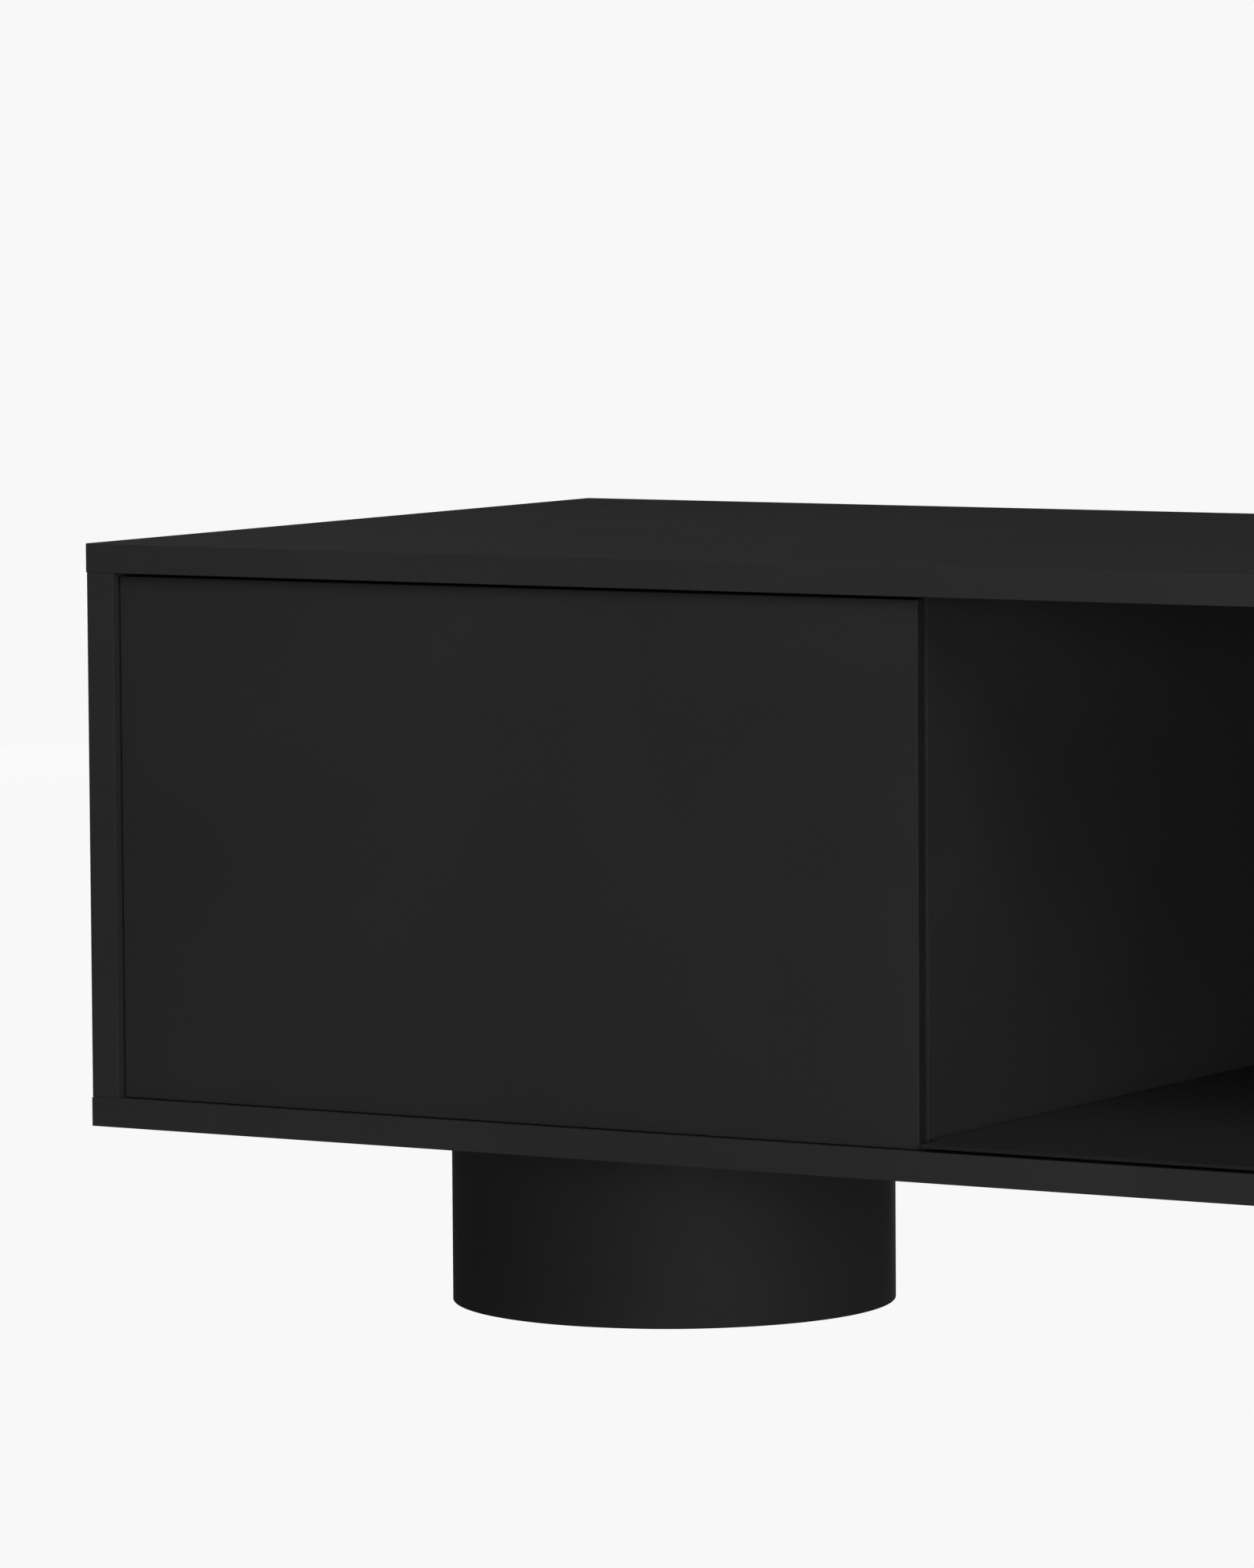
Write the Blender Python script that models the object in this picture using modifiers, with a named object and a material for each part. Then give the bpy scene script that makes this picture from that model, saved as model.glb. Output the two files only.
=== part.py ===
"""Low console: a drawer at each end, an open bay in the middle, and a drum foot under each drawer.

Metres, +Z up. The origin is on the floor under the middle of the console. +X is the right-hand end as seen
from the front, and the drawer fronts face -Y. The drawers are closed.
"""

import math

import bmesh
import bpy
from mathutils import Matrix, Vector

# Driving dimensions of the whole console.
WIDTH = 1.600
DEPTH = 0.500
CARCASS_HEIGHT = 0.300
FOOT_HEIGHT = 0.108
END_TO_OPEN_BAY = 0.477
GAP = 0.0003  # between two pieces that touch

# Carcass boards.
PANEL = 0.015  # top, bottom and dividers
SIDE = 0.016
SIDE_INSET = 0.0005  # the side panels stand back a little under the ends of the top and bottom
BACK_BOARD = 0.008
BACK_INSET = 0.006
DIVIDER_SETBACK = 0.0245  # the dividers end behind the drawer fronts
ARRIS = 0.0003  # rounding of a lacquered edge
ARRIS_SEGMENTS = 2
FINE_ARRIS = 0.0003  # broken edge of steel, melamine and felt pieces

# Floor liner of the open bay: a thin sheet on felt strips.
LINER = 0.0016
LINER_LIFT = 0.0016
LINER_SIDE_GAP = 0.0025
LINER_SETBACK = 0.0015
LINER_ARRIS = 0.0003
LINER_NOTCH = 0.001  # clearance of the notches in its front corners round the drawer fronts' grip edges
STRIP = 0.0012
STRIP_WIDTH = 0.020
STRIP_SETBACK = 0.030
STRIP_LENGTH = 0.560

# Drawer front.
FRONT_BOARD = 0.018
FRONT_RECESS = 0.0045
FRONT_SIDE_GAP = 0.0014
FRONT_TOP_GAP = 0.0017
FRONT_BOTTOM_GAP = 0.0005
GRIP_OVERHANG = 0.0055  # how far the front reaches past the divider into the open bay
GRIP_EDGE = 0.001  # thickness left at the grip edge
GRIP_BEVEL = 0.006  # how far the grip edge is cut back behind

# Drawer box.
BOX_BOARD = 0.012
BOX_SIDE_GAP = 0.0055
BOX_FOOT_GAP = 0.004
BOX_HEIGHT = 0.210
BOX_LENGTH = 0.440
BOX_BOTTOM = 0.008
BOX_BOTTOM_LIFT = 0.0163
GROOVE_DEPTH = 0.005

# Runners. Across the rail, u is measured from the bay's wall; heights are above the bay's floor.
RAIL_SHEET = 0.0015
FIXED_RAIL_LEG = 0.030
FIXED_RAIL_WIDTH = 0.0520
FIXED_RAIL_LIP = 0.0085
FIXED_RAIL_BOTTOM = 0.0005
MIDDLE_RAIL_U = (0.0240, 0.0480)
MIDDLE_RAIL_Z = (0.0025, 0.0140)
DRAWER_RAIL_U = (0.0220, 0.0500)
DRAWER_RAIL_Z = (0.0030, 0.0160)
FIXED_RAIL_Y = (-0.2135, 0.2315)
MIDDLE_RAIL_Y = (-0.1925, 0.2075)
DRAWER_RAIL_Y = (-0.1935, 0.2065)
CLIP_U = (0.0200, 0.0490)
CLIP_Z = (0.0030, 0.0160)
CLIP_Y = (-0.2140, -0.1945)
CLIP_LEVER = 0.006

# Drum foot.
FOOT_CENTRE_FROM_END = 0.200
DRUM_RADIUS = 0.117
DRUM_WALL = 0.014
DRUM_ARRIS = 0.0005
DRUM_STEPS = 72
FOOT_PLATE = 0.015
FELT_RING = 0.0009
FELT_OUTER_RADIUS = 0.109
FELT_INNER_RADIUS = 0.085
BOLT_CIRCLE_RADIUS = 0.070
BOLT_COUNT = 3
BOLT_SHANK_RADIUS = 0.004
BOLT_SHANK_LENGTH = 0.024
BOLT_HEAD_RADIUS = 0.008
BOLT_HEAD = 0.003
BOLT_SOCKET_RADIUS = 0.0025
BOLT_SOCKET_DEPTH = 0.002
BOLT_CLEARANCE = 0.0005
SMALL_STEPS = 16

# Places worked out from the dimensions above.
FRONT = -DEPTH / 2
REAR = DEPTH / 2
BAY_FLOOR = FOOT_HEIGHT + PANEL
BAY_CEILING = FOOT_HEIGHT + CARCASS_HEIGHT - PANEL
SIDE_INNER_X = WIDTH / 2 - SIDE_INSET - SIDE
OPEN_BAY_X = WIDTH / 2 - END_TO_OPEN_BAY
DIVIDER_INNER_X = OPEN_BAY_X + PANEL
BAY_WIDTH = SIDE_INNER_X - DIVIDER_INNER_X
BACK_BOARD_FRONT = REAR - BACK_INSET - BACK_BOARD
FRONT_BACK_Y = FRONT + FRONT_RECESS + FRONT_BOARD
BOX_FRONT_Y = FRONT_BACK_Y + GAP
BOX_REAR_Y = BOX_FRONT_Y + BOX_LENGTH
BOX_Z = (BAY_FLOOR + BOX_FOOT_GAP, BAY_FLOOR + BOX_FOOT_GAP + BOX_HEIGHT)
BOX_BOTTOM_Z = (BAY_FLOOR + BOX_BOTTOM_LIFT, BAY_FLOOR + BOX_BOTTOM_LIFT + BOX_BOTTOM)
GROOVE_Z = (BOX_BOTTOM_Z[0] - GAP, BOX_BOTTOM_Z[1] + GAP)
FOOT_X = WIDTH / 2 - FOOT_CENTRE_FROM_END
DRUM_Z = (FELT_RING + GAP, FOOT_HEIGHT - GAP)
HANDS = (("left", -1), ("right", 1))

# Orientations of a flat outline: its own X and Y become these two world axes.
PLAN_XY = Matrix.Identity(3)
SECTION_XZ = Matrix(((1, 0, 0), (0, 0, -1), (0, 1, 0)))
SECTION_YZ = Matrix(((0, 0, 1), (1, 0, 0), (0, 1, 0)))


def clear_scene():
    for obj in list(bpy.data.objects):
        bpy.data.objects.remove(obj)


def new_collection(name):
    collection = bpy.data.collections.new(name)
    bpy.context.scene.collection.children.link(collection)
    return collection


def new_material(name, color, roughness, metallic=0.0):
    material = bpy.data.materials.new(name)
    material.use_nodes = True
    shader = material.node_tree.nodes["Principled BSDF"]
    shader.inputs["Base Color"].default_value = (*color, 1.0)
    shader.inputs["Roughness"].default_value = roughness
    shader.inputs["Metallic"].default_value = metallic
    material.diffuse_color = (*color, 1.0)
    return material


clear_scene()
PARTS = new_collection("low_console")
CUTTERS = new_collection("cutters")
LACQUER = new_material("black_lacquer", (0.040, 0.040, 0.0404), 0.6)
BACKING = new_material("black_hardboard", (0.034, 0.034, 0.034), 0.7)
LINING = new_material("black_laminate", (0.035, 0.035, 0.0354), 0.5)
BOX_MELAMINE = new_material("anthracite_melamine", (0.060, 0.061, 0.064), 0.6)
PLYWOOD = new_material("birch_plywood", (0.55, 0.40, 0.24), 0.6)
FELT = new_material("black_felt", (0.015, 0.015, 0.015), 0.95)
STEEL = new_material("zinc_plated_steel", (0.60, 0.61, 0.62), 0.35, 1.0)
CLIP_PLASTIC = new_material("grey_plastic", (0.22, 0.22, 0.23), 0.5)


def place(obj, location, parent):
    """Puts obj in the parts collection at a world location, under parent if there is one."""
    obj.location = location
    PARTS.objects.link(obj)
    if parent is not None:
        obj.parent = parent
        obj.matrix_parent_inverse = Matrix.Translation(-parent.location)
    return obj


def axis_empty(name, location):
    """An empty that a moving group hangs on, placed on its joint's axis."""
    empty = bpy.data.objects.new(name, None)
    return place(empty, location, None)


def round_edges(obj, width, segments):
    bevel = obj.modifiers.new("rounded_edges", "BEVEL")
    bevel.width = width
    bevel.segments = segments
    bevel.limit_method = "ANGLE"
    bevel.angle_limit = math.radians(25)


def board(name, low, high, material, parent=None, arris=ARRIS, segments=ARRIS_SEGMENTS):
    """A rectangular board between two corners, with rounded edges."""
    low, high = Vector(low), Vector(high)
    mesh = bpy.data.meshes.new(name)
    shape = bmesh.new()
    bmesh.ops.create_cube(shape, size=1.0)
    bmesh.ops.scale(shape, vec=high - low, verts=shape.verts)
    shape.to_mesh(mesh)
    shape.free()
    mesh.materials.append(material)
    obj = bpy.data.objects.new(name, mesh)
    round_edges(obj, arris, segments)
    return place(obj, (low + high) / 2, parent)


def mirrored_board(name, sign, x_range, y_range, z_range, material, parent=None, **edges):
    """A board whose x_range is given as distances from the console's middle, on the side that sign says."""
    x_low, x_high = sorted(sign * x for x in x_range)
    low = (x_low, y_range[0], z_range[0])
    high = (x_high, y_range[1], z_range[1])
    return board(name, low, high, material, parent, **edges)


def counter_clockwise(points):
    doubled_area = sum(
        a[0] * b[1] - b[0] * a[1] for a, b in zip(points, points[1:] + points[:1])
    )
    return points if doubled_area > 0 else points[::-1]


def profile_bar(name, outline, turn, span, material, parent=None, arris=FINE_ARRIS, segments=1):
    """A flat outline, extruded over span along the world axis that turn gives its own Z."""
    curve = bpy.data.curves.new(name, "CURVE")
    curve.dimensions = "2D"
    curve.fill_mode = "BOTH"
    curve.extrude = (span[1] - span[0]) / 2
    curve.materials.append(material)
    points = counter_clockwise(list(outline))
    spline = curve.splines.new("POLY")
    spline.points.add(len(points) - 1)
    for point, (across, up) in zip(spline.points, points):
        point.co = (across, up, 0.0, 1.0)
    spline.use_cyclic_u = True
    obj = bpy.data.objects.new(name, curve)
    weld = obj.modifiers.new("closed_caps", "WELD")
    weld.merge_threshold = 0.00002
    round_edges(obj, arris, segments)
    obj.rotation_euler = turn.to_euler()
    middle = turn @ Vector((0.0, 0.0, 1.0))
    along = sum(span) / 2 * (1 if sum(middle) > 0 else -1)
    return place(obj, middle * along, parent)


def turned(name, profile, location, material, steps, closed=False, parent=None):
    """A turned piece from (radius, height) points that run down its outer side."""
    mesh = bpy.data.meshes.new(name)
    shape = bmesh.new()
    verts = [shape.verts.new((radius, 0.0, height)) for radius, height in profile]
    for first, second in zip(verts, verts[1:]):
        shape.edges.new((first, second))
    if closed:
        shape.edges.new((verts[-1], verts[0]))
    shape.to_mesh(mesh)
    shape.free()
    mesh.materials.append(material)
    obj = bpy.data.objects.new(name, mesh)
    screw = obj.modifiers.new("turned", "SCREW")
    screw.steps = steps
    screw.render_steps = steps
    screw.use_merge_vertices = True
    screw.merge_threshold = 0.00001
    screw.use_smooth_shade = True
    return place(obj, location, parent)


def rounded_corner(radius, height, arris, start_degrees, steps=2):
    """Points of a quarter circle that rounds a turned piece's corner, going clockwise from start_degrees."""
    points = []
    for i in range(steps + 1):
        angle = math.radians(start_degrees - 90 * i / steps)
        points.append((radius + arris * math.cos(angle), height + arris * math.sin(angle)))
    return points


def cylinder_cutter(name, radius, low, high, x, y):
    mesh = bpy.data.meshes.new(name)
    shape = bmesh.new()
    bmesh.ops.create_cone(
        shape,
        cap_ends=True,
        segments=SMALL_STEPS,
        radius1=radius,
        radius2=radius,
        depth=high - low,
    )
    shape.to_mesh(mesh)
    shape.free()
    obj = bpy.data.objects.new(name, mesh)
    obj.location = (x, y, (low + high) / 2)
    obj.hide_render = True
    obj.display_type = "WIRE"
    CUTTERS.objects.link(obj)
    return obj


def cut(obj, cutter):
    boolean = obj.modifiers.new(cutter.name, "BOOLEAN")
    boolean.operation = "DIFFERENCE"
    boolean.object = cutter


def from_wall(sign, wall_x, inward, u):
    """World X of a point at distance u from a bay wall. inward is +1 where the bay lies towards larger |x|."""
    return sign * (wall_x + inward * u)


def build_carcass():
    """Top, bottom, sides, dividers and back board. Returns the bottom panel, which the foot bolts pass through."""
    half = WIDTH / 2
    board(
        "top_panel",
        (-half, FRONT, BAY_CEILING),
        (half, REAR, BAY_CEILING + PANEL),
        LACQUER,
    )
    bottom = board(
        "bottom_panel",
        (-half, FRONT, FOOT_HEIGHT),
        (half, REAR, BAY_FLOOR),
        LACQUER,
    )
    upright = (BAY_FLOOR + GAP, BAY_CEILING - GAP)
    for hand, sign in HANDS:
        mirrored_board(
            f"side_panel_{hand}",
            sign,
            (SIDE_INNER_X, SIDE_INNER_X + SIDE),
            (FRONT, REAR),
            upright,
            LACQUER,
        )
        mirrored_board(
            f"divider_{hand}",
            sign,
            (OPEN_BAY_X, DIVIDER_INNER_X),
            (FRONT + DIVIDER_SETBACK, BACK_BOARD_FRONT - GAP),
            upright,
            LACQUER,
        )
    board(
        "back_board",
        (-SIDE_INNER_X + GAP, BACK_BOARD_FRONT, upright[0]),
        (SIDE_INNER_X - GAP, BACK_BOARD_FRONT + BACK_BOARD, upright[1]),
        BACKING,
    )
    return bottom


def build_floor_liner():
    """A thin sheet on the open bay's floor, lifted by felt strips so that a dark joint shows under its edge.

    Its front corners are notched, because the grip edges of the drawer fronts reach over the floor there.
    """
    half = OPEN_BAY_X - LINER_SIDE_GAP
    notched_half = OPEN_BAY_X - GRIP_OVERHANG - LINER_NOTCH
    liner_front = FRONT + LINER_SETBACK
    liner_rear = BACK_BOARD_FRONT - LINER_SIDE_GAP
    notch_rear = FRONT_BACK_Y + LINER_NOTCH
    low_z = BAY_FLOOR + LINER_LIFT
    right_half = [
        (notched_half, liner_front),
        (notched_half, notch_rear),
        (half, notch_rear),
        (half, liner_rear),
    ]
    profile_bar(
        "floor_liner",
        right_half + [(-x, y) for x, y in reversed(right_half)],
        PLAN_XY,
        (low_z, low_z + LINER),
        LINING,
        arris=LINER_ARRIS,
        segments=2,
    )
    strip_z = BAY_FLOOR + (LINER_LIFT - STRIP) / 2
    first = liner_front + STRIP_SETBACK
    last = liner_rear - STRIP_SETBACK - STRIP_WIDTH
    for name, front in (("front", first), ("middle", (first + last) / 2), ("rear", last)):
        board(
            f"liner_felt_strip_{name}",
            (-STRIP_LENGTH / 2, front, strip_z),
            (STRIP_LENGTH / 2, front + STRIP_WIDTH, strip_z + STRIP),
            FELT,
            arris=STRIP / 4,
            segments=1,
        )


def build_drawer_front(hand, sign, parent):
    """The front board. Its edge at the open bay is cut back behind, so that fingers can pull on it."""
    outer_x = SIDE_INNER_X - FRONT_SIDE_GAP
    grip_x = OPEN_BAY_X - GRIP_OVERHANG
    face_y = FRONT + FRONT_RECESS
    outline = [
        (outer_x, face_y),
        (grip_x, face_y),
        (grip_x, face_y + GRIP_EDGE),
        (grip_x + GRIP_BEVEL, FRONT_BACK_Y),
        (outer_x, FRONT_BACK_Y),
    ]
    profile_bar(
        f"drawer_front_{hand}",
        [(sign * x, y) for x, y in outline],
        PLAN_XY,
        (BAY_FLOOR + FRONT_BOTTOM_GAP, BAY_CEILING - FRONT_TOP_GAP),
        LACQUER,
        parent,
        ARRIS,
        ARRIS_SEGMENTS,
    )


def grooved_board_outline(face, groove_face, z_range):
    """Section of an upright board with a groove for the drawer bottom in its groove_face."""
    groove_end = groove_face + math.copysign(GROOVE_DEPTH, face - groove_face)
    return [
        (face, z_range[0]),
        (face, z_range[1]),
        (groove_face, z_range[1]),
        (groove_face, GROOVE_Z[1]),
        (groove_end, GROOVE_Z[1]),
        (groove_end, GROOVE_Z[0]),
        (groove_face, GROOVE_Z[0]),
        (groove_face, z_range[0]),
    ]


def build_drawer_box(hand, sign, parent):
    walls = (("outer", SIDE_INNER_X, -1), ("inner", DIVIDER_INNER_X, 1))
    for place_name, wall_x, inward in walls:
        face = from_wall(sign, wall_x, inward, BOX_SIDE_GAP)
        groove_face = from_wall(sign, wall_x, inward, BOX_SIDE_GAP + BOX_BOARD)
        profile_bar(
            f"drawer_box_{hand}_{place_name}_side",
            grooved_board_outline(face, groove_face, BOX_Z),
            SECTION_XZ,
            (BOX_FRONT_Y, BOX_REAR_Y),
            BOX_MELAMINE,
            parent,
        )
    inside = BOX_SIDE_GAP + BOX_BOARD
    between = (DIVIDER_INNER_X + inside + GAP, SIDE_INNER_X - inside - GAP)
    profile_bar(
        f"drawer_box_{hand}_inner_front",
        grooved_board_outline(BOX_FRONT_Y, BOX_FRONT_Y + BOX_BOARD, BOX_Z),
        SECTION_YZ,
        tuple(sorted(sign * x for x in between)),
        BOX_MELAMINE,
        parent,
    )
    mirrored_board(
        f"drawer_box_{hand}_back",
        sign,
        between,
        (BOX_REAR_Y - BOX_BOARD, BOX_REAR_Y),
        (GROOVE_Z[1], BOX_Z[1]),
        BOX_MELAMINE,
        parent,
        arris=FINE_ARRIS,
        segments=1,
    )
    in_groove = inside - GROOVE_DEPTH + GAP
    mirrored_board(
        f"drawer_box_{hand}_bottom",
        sign,
        (DIVIDER_INNER_X + in_groove, SIDE_INNER_X - in_groove),
        (BOX_FRONT_Y + BOX_BOARD - GROOVE_DEPTH + GAP, BOX_REAR_Y),
        BOX_BOTTOM_Z,
        BOX_MELAMINE,
        parent,
        arris=FINE_ARRIS,
        segments=1,
    )


def fixed_rail_outline():
    """A leg on the wall, a base on the floor and a low lip at its inner edge, as (u, height)."""
    base_top = FIXED_RAIL_BOTTOM + RAIL_SHEET
    return [
        (GAP, FIXED_RAIL_BOTTOM),
        (FIXED_RAIL_WIDTH, FIXED_RAIL_BOTTOM),
        (FIXED_RAIL_WIDTH, FIXED_RAIL_LIP),
        (FIXED_RAIL_WIDTH - RAIL_SHEET, FIXED_RAIL_LIP),
        (FIXED_RAIL_WIDTH - RAIL_SHEET, base_top),
        (GAP + RAIL_SHEET, base_top),
        (GAP + RAIL_SHEET, FIXED_RAIL_LEG),
        (GAP, FIXED_RAIL_LEG),
    ]


def channel_outline(u_range, z_range, opens_up):
    """A channel of sheet steel as (u, height), open at the top or at the bottom."""
    web, rim = z_range if opens_up else z_range[::-1]
    web_inside = web + math.copysign(RAIL_SHEET, rim - web)
    return [
        (u_range[0], rim),
        (u_range[0], web),
        (u_range[1], web),
        (u_range[1], rim),
        (u_range[1] - RAIL_SHEET, rim),
        (u_range[1] - RAIL_SHEET, web_inside),
        (u_range[0] + RAIL_SHEET, web_inside),
        (u_range[0] + RAIL_SHEET, rim),
    ]


def clip_outline():
    """Side view of a front clip as (y, height): a block with a lever that reaches down and forward."""
    front, rear = CLIP_Y
    low, high = CLIP_Z
    return [
        (front, high),
        (front, high - CLIP_LEVER / 2),
        (front + CLIP_LEVER, low),
        (rear, low),
        (rear, high),
    ]


def build_runners(hand, sign, drawer_axis, middle_axis):
    """Under each side of the drawer: a fixed rail, a middle rail that follows, and the drawer's own rail."""
    rails = (
        ("fixed", fixed_rail_outline(), FIXED_RAIL_Y, None),
        ("middle", channel_outline(MIDDLE_RAIL_U, MIDDLE_RAIL_Z, True), MIDDLE_RAIL_Y, middle_axis),
        ("drawer", channel_outline(DRAWER_RAIL_U, DRAWER_RAIL_Z, False), DRAWER_RAIL_Y, drawer_axis),
    )
    walls = (("outer", SIDE_INNER_X, -1), ("inner", DIVIDER_INNER_X, 1))
    for place_name, wall_x, inward in walls:
        for kind, outline, y_range, parent in rails:
            profile_bar(
                f"runner_{hand}_{place_name}_{kind}_rail",
                [(from_wall(sign, wall_x, inward, u), BAY_FLOOR + z) for u, z in outline],
                SECTION_XZ,
                y_range,
                STEEL,
                parent,
            )
        profile_bar(
            f"front_clip_{hand}_{place_name}",
            [(y, BAY_FLOOR + z) for y, z in clip_outline()],
            SECTION_YZ,
            tuple(sorted(from_wall(sign, wall_x, inward, u) for u in CLIP_U)),
            CLIP_PLASTIC,
            drawer_axis,
        )


def ring_profile(outer, inner, low, high, arris):
    """Closed section of a ring, down the outer side, whose corners are rounded, and up the inner side."""
    return (
        rounded_corner(outer - arris, high - arris, arris, 90)
        + rounded_corner(outer - arris, low + arris, arris, 0)
        + [(inner, low), (inner, high)]
    )


def disc_profile(radius, low, high):
    return [(0.0, high), (radius, high), (radius, low), (0.0, low)]


def bolt_profile():
    """A low round head with a socket, and a plain shank, with the underside of the head at height 0."""
    return [
        (0.0, BOLT_HEAD - BOLT_SOCKET_DEPTH),
        (BOLT_SOCKET_RADIUS, BOLT_HEAD - BOLT_SOCKET_DEPTH),
        (BOLT_SOCKET_RADIUS, BOLT_HEAD),
        (BOLT_HEAD_RADIUS - 0.0006, BOLT_HEAD),
        (BOLT_HEAD_RADIUS, BOLT_HEAD - 0.0006),
        (BOLT_HEAD_RADIUS, 0.0),
        (BOLT_SHANK_RADIUS, 0.0),
        (BOLT_SHANK_RADIUS, -BOLT_SHANK_LENGTH + 0.0008),
        (BOLT_SHANK_RADIUS - 0.0008, -BOLT_SHANK_LENGTH),
        (0.0, -BOLT_SHANK_LENGTH),
    ]


def build_foot(hand, sign, bottom_panel):
    """A hollow drum with a plate in each end, on a felt ring, bolted up to the bottom panel."""
    x = sign * FOOT_X
    plate_radius = DRUM_RADIUS - DRUM_WALL - GAP
    turned(
        f"foot_drum_{hand}",
        ring_profile(DRUM_RADIUS, DRUM_RADIUS - DRUM_WALL, *DRUM_Z, DRUM_ARRIS),
        (x, 0.0, 0.0),
        LACQUER,
        DRUM_STEPS,
        closed=True,
    )
    top_plate = turned(
        f"foot_mounting_plate_{hand}",
        disc_profile(plate_radius, DRUM_Z[1] - FOOT_PLATE, DRUM_Z[1]),
        (x, 0.0, 0.0),
        PLYWOOD,
        DRUM_STEPS // 2,
    )
    turned(
        f"foot_base_plate_{hand}",
        disc_profile(plate_radius, DRUM_Z[0], DRUM_Z[0] + FOOT_PLATE),
        (x, 0.0, 0.0),
        PLYWOOD,
        DRUM_STEPS // 2,
    )
    turned(
        f"foot_felt_ring_{hand}",
        ring_profile(FELT_OUTER_RADIUS, FELT_INNER_RADIUS, 0.0, FELT_RING, 0.0002),
        (x, 0.0, 0.0),
        FELT,
        DRUM_STEPS // 2,
        closed=True,
    )
    head_seat = BAY_FLOOR - BOLT_HEAD - BOLT_CLEARANCE
    for i in range(BOLT_COUNT):
        angle = math.radians(90 + 360 * i / BOLT_COUNT)
        bolt_x = x + sign * BOLT_CIRCLE_RADIUS * math.cos(angle)
        bolt_y = BOLT_CIRCLE_RADIUS * math.sin(angle)
        bolt = f"foot_bolt_{hand}_{i + 1}"
        turned(
            bolt,
            bolt_profile(),
            (bolt_x, bolt_y, head_seat + GAP),
            STEEL,
            SMALL_STEPS,
        )
        shank_hole = BOLT_SHANK_RADIUS + BOLT_CLEARANCE
        head_hole = BOLT_HEAD_RADIUS + BOLT_CLEARANCE
        above = BAY_FLOOR + PANEL
        below = FOOT_HEIGHT - PANEL
        cut(bottom_panel, cylinder_cutter(f"{bolt}_head_hole", head_hole, head_seat, above, bolt_x, bolt_y))
        cut(bottom_panel, cylinder_cutter(f"{bolt}_panel_hole", shank_hole, below, above, bolt_x, bolt_y))
        cut(top_plate, cylinder_cutter(f"{bolt}_plate_hole", shank_hole, below - PANEL, above, bolt_x, bolt_y))


def smooth_round_pieces():
    """Smooth shading with sharp edges kept, on every turned piece."""
    for obj in PARTS.objects:
        if obj.type == "MESH" and "turned" in obj.modifiers:
            obj.data.shade_smooth()
            obj.data.set_sharp_from_angle(angle=math.radians(35))


def main():
    bottom_panel = build_carcass()
    build_floor_liner()
    for hand, sign in HANDS:
        drawer_middle = sign * (DIVIDER_INNER_X + BAY_WIDTH / 2)
        drawer_axis = axis_empty(f"drawer_{hand}_slide_axis", (drawer_middle, FRONT, BAY_FLOOR))
        middle_axis = axis_empty(f"middle_rails_{hand}_slide_axis", (drawer_middle, 0.0, BAY_FLOOR))
        build_drawer_front(hand, sign, drawer_axis)
        build_drawer_box(hand, sign, drawer_axis)
        build_runners(hand, sign, drawer_axis, middle_axis)
        build_foot(hand, sign, bottom_panel)
    smooth_round_pieces()


main()
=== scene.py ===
"""Looks of the low console: camera, soft studio light, procedural finishes and small hardware.

Metres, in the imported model's frame: the origin is on the floor under the console's middle, +Z is up,
and the drawer fronts face -Y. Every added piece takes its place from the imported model's own boxes.
"""

import math

import bmesh
import bpy
from mathutils import Matrix, Vector


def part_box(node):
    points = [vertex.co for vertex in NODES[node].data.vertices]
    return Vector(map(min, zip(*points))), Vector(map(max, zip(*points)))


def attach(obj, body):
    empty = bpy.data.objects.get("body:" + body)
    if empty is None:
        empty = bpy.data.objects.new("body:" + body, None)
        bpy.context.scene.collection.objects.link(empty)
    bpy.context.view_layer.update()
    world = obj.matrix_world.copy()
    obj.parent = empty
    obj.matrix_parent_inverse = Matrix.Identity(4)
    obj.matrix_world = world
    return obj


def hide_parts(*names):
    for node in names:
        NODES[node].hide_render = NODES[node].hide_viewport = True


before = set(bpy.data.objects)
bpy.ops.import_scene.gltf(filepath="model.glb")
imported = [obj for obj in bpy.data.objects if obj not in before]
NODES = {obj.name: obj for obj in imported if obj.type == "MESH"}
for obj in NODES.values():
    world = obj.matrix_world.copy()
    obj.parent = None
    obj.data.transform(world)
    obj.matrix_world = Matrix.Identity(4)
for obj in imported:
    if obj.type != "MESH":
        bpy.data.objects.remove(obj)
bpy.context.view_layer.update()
SCENE = bpy.context.scene
HANDS = (("left", -1), ("right", 1))

# Camera: a long lens from the front right, a little above the console. Its angles are in degrees.
CAMERA_PLACE = (1.691, -3.900, 0.651)
CAMERA_TURN = 30.728
CAMERA_DOWN = 4.774
CAMERA_ROLL = -0.368
CAMERA_LENS = 198.2
CAMERA_SENSOR = 36.0
CAMERA_NEAR = 0.05
CAMERA_FAR = 200.0

# Studio. To the camera the floor is as bright as the backdrop. FLOOR_BOUNCE is what it throws back.
BACKDROP = 0.939
FLOOR_GLOW = 0.9385
FLOOR_BOUNCE = 0.13
FLOOR_ALBEDO = 0.004
FLOOR_SIZE = 120.0
WORLD_LIGHT = 0.005
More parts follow.
